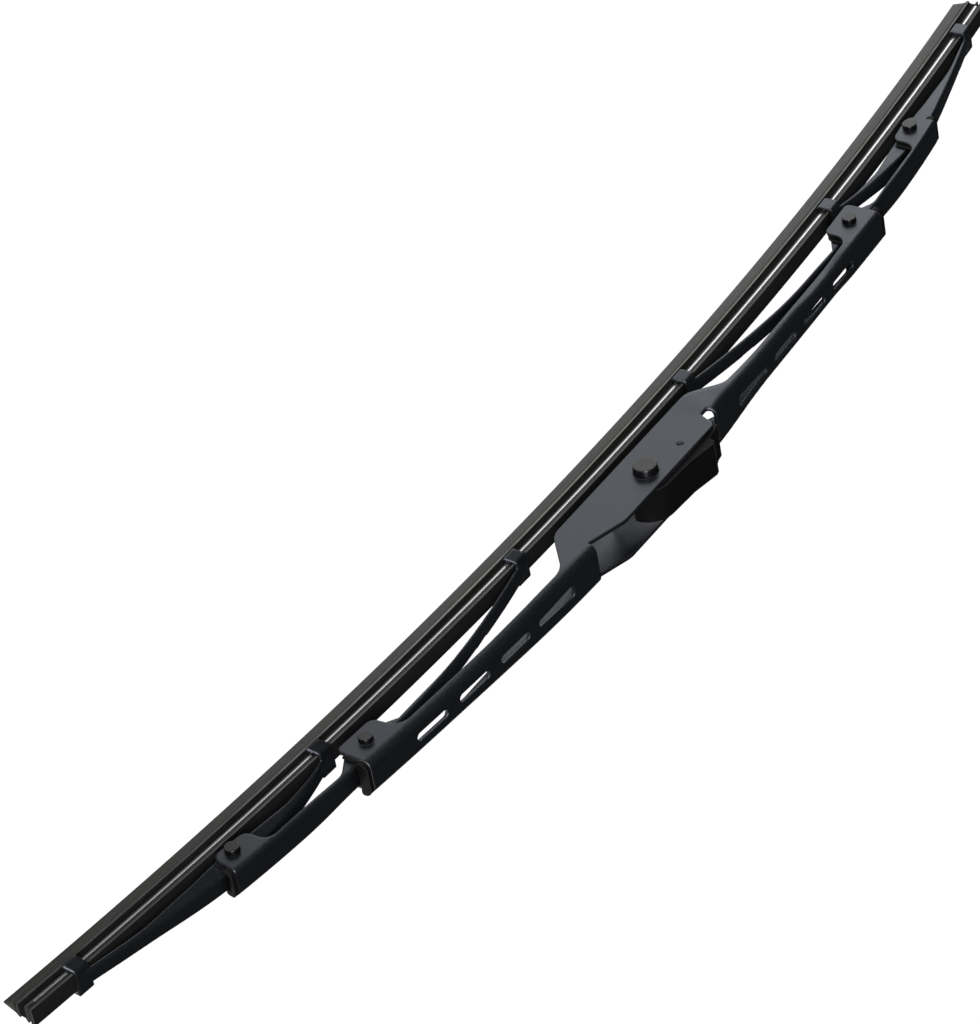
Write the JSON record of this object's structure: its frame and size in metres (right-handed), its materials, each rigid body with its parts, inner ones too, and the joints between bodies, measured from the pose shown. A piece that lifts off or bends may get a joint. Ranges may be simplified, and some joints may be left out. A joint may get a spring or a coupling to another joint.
{
  "type": "windscreen wiper blade",
  "caption": "Bridge-type wiper blade: a slotted main bridge on a centre pin carries pivoting secondary bridges and end yokes whose claws hold a rubber squeegee with steel splines.",
  "frame": {"origin": "on the axis of the centre pin, midway along and midway across the blade", "axes": "+X along the blade towards its left end (the near end in the picture), +Y across the blade along the pin, +Z from the glass towards the back of the blade"},
  "size_m": [0.4814, 0.018, 0.051],
  "materials": {
    "bridge_paint": "satin black powder coat on folded steel sheet",
    "rivet_paint": "satin black over steel, a little rubbed on the head faces",
    "liner_plastic": "matte black moulded plastic",
    "adapter_plastic": "black moulded plastic with a slight sheen",
    "blade_rubber": "matte black rubber with a greyer lip",
    "spline_steel": "bright rolled spring steel"
  },
  "bodies": {
    "main_bridge": {"primary_bridge": "bridge_paint", "centre_pin": "rivet_paint", "bridge_rivet_left": "rivet_paint", "bridge_rivet_right": "rivet_paint", "bridge_liner_left": "liner_plastic", "bridge_liner_right": "liner_plastic", "wiper_rubber": "blade_rubber", "spline_near": "spline_steel", "spline_far": "spline_steel"},
    "second_bridge_left": {"secondary_bridge_left": "bridge_paint", "yoke_rivet_left": "rivet_paint", "yoke_liner_left": "liner_plastic"},
    "second_bridge_right": {"secondary_bridge_right": "bridge_paint", "yoke_rivet_right": "rivet_paint", "yoke_liner_right": "liner_plastic"},
    "yoke_left": {"end_yoke_left": "bridge_paint"},
    "yoke_right": {"end_yoke_right": "bridge_paint"},
    "adapter": {"hook_adapter": "adapter_plastic"}
  },
  "joints": [
    {"name": "second_bridge_left_pivot", "type": "hinge", "parent": "main_bridge", "child": "second_bridge_left", "pos_m": [0.12345, 0, -0.00855], "axis": [0, 1, 0], "range_deg": [-4, 4], "deforming": ["wiper_rubber", "spline_near", "spline_far"]},
    {"name": "second_bridge_right_pivot", "type": "hinge", "parent": "main_bridge", "child": "second_bridge_right", "pos_m": [-0.12345, 0, -0.00855], "axis": [0, -1, 0], "range_deg": [-4, 4], "deforming": ["wiper_rubber", "spline_near", "spline_far"]},
    {"name": "yoke_left_pivot", "type": "hinge", "parent": "second_bridge_left", "child": "yoke_left", "pos_m": [0.1723, 0, -0.0168], "axis": [0, 1, 0], "range_deg": [-5, 5], "deforming": ["wiper_rubber", "spline_near", "spline_far"]},
    {"name": "yoke_right_pivot", "type": "hinge", "parent": "second_bridge_right", "child": "yoke_right", "pos_m": [-0.1723, 0, -0.0168], "axis": [0, -1, 0], "range_deg": [-5, 5], "deforming": ["wiper_rubber", "spline_near", "spline_far"]},
    {"name": "adapter_pivot", "type": "hinge", "parent": "main_bridge", "child": "adapter", "pos_m": [0, 0, 0], "axis": [0, 1, 0], "range_deg": [-20, 20]}
  ]
}
